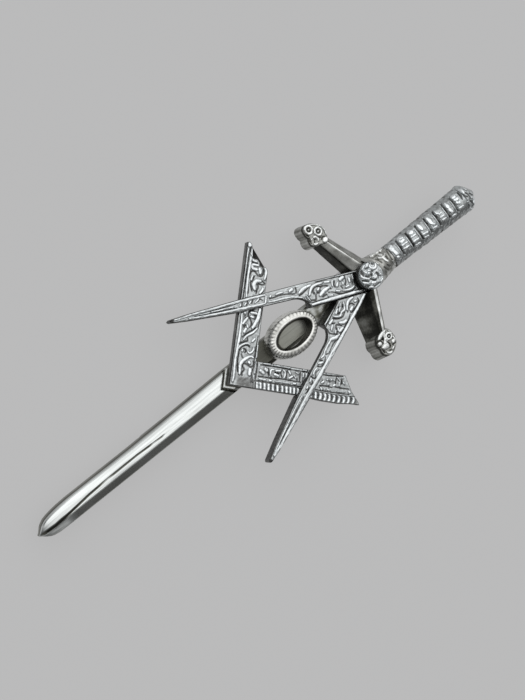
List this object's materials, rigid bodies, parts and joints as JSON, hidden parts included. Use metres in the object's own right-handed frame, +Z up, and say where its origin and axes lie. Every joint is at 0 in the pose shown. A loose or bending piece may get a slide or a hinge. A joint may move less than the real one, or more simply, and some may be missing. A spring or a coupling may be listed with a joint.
{
  "type": "kilt pin",
  "caption": "Sword-shaped kilt pin with a ringed grip and swept guard, carrying a scrolled square, crossed compasses and an oval ring, with a pin and catch at the back.",
  "frame": {"origin": "middle of the base of the bounding box, on the surface that the pin lies on", "axes": "-X to the tip of the blade, +X to the pommel, +Y to the scrolled arm of the square, +Z up out of the decorated front"},
  "size_m": [0.1, 0.035, 0.0105],
  "materials": {
    "polished_silver": "polished by hand, with fine scratches along the blade",
    "antiqued_silver": "cast, polished on the raised parts and darkened in the recesses",
    "steel_pin": "satin"
  },
  "bodies": {
    "root": {"blade": "polished_silver", "guard": "antiqued_silver", "grip": "antiqued_silver", "pommel": "antiqued_silver", "square": "antiqued_silver", "compass_leg_left": "antiqued_silver", "compass_leg_right": "antiqued_silver", "pivot_boss": "antiqued_silver", "oval_ring": "antiqued_silver", "back_pin": "steel_pin"}
  },
  "joints": []
}
